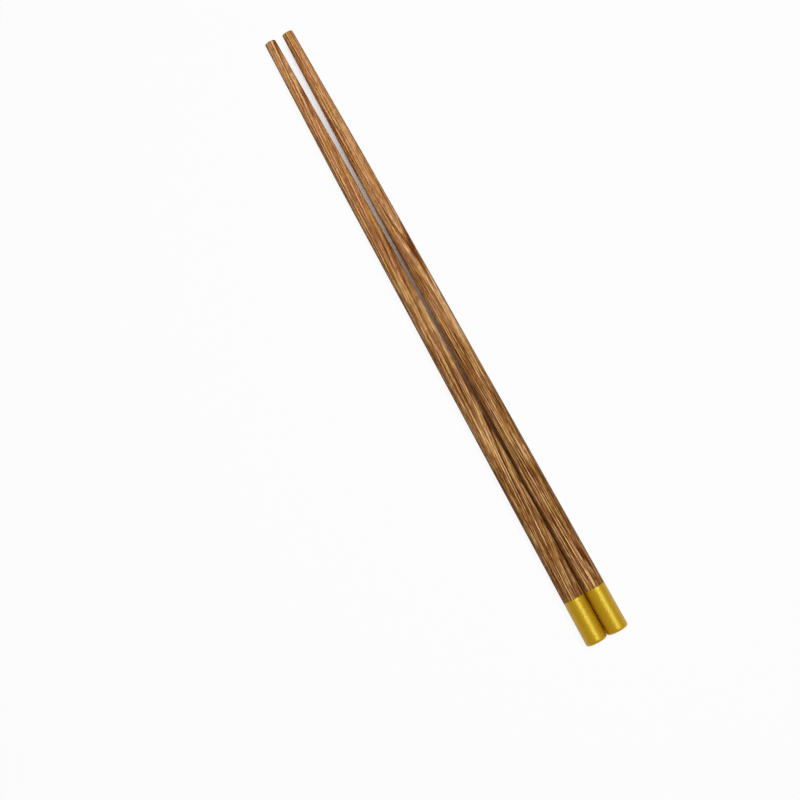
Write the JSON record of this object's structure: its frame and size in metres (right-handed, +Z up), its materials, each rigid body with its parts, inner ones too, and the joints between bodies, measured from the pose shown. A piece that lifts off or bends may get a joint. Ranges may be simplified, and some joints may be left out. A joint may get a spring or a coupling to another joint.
{
  "type": "pair of wooden chopsticks",
  "caption": "Round tapered striped hardwood chopsticks with satin gold-coloured metal caps on their handle ends, lying side by side.",
  "frame": {"origin": "on the surface that the pair lies on, midway between the sticks and midway along them", "axes": "+Y from the metal caps towards the eating tips, +Z up, +X to the right seen from above with the tips ahead"},
  "size_m": [0.017, 0.25, 0.0085],
  "materials": {
    "hardwood": "striped dark-tan hardwood, turned, sanded fine and sealed to a satin",
    "cap_metal": "satin gold-coloured metal, finely brushed"
  },
  "bodies": {
    "root": {"left_stick": "hardwood", "left_cap": "cap_metal", "right_stick": "hardwood", "right_cap": "cap_metal"}
  },
  "joints": []
}
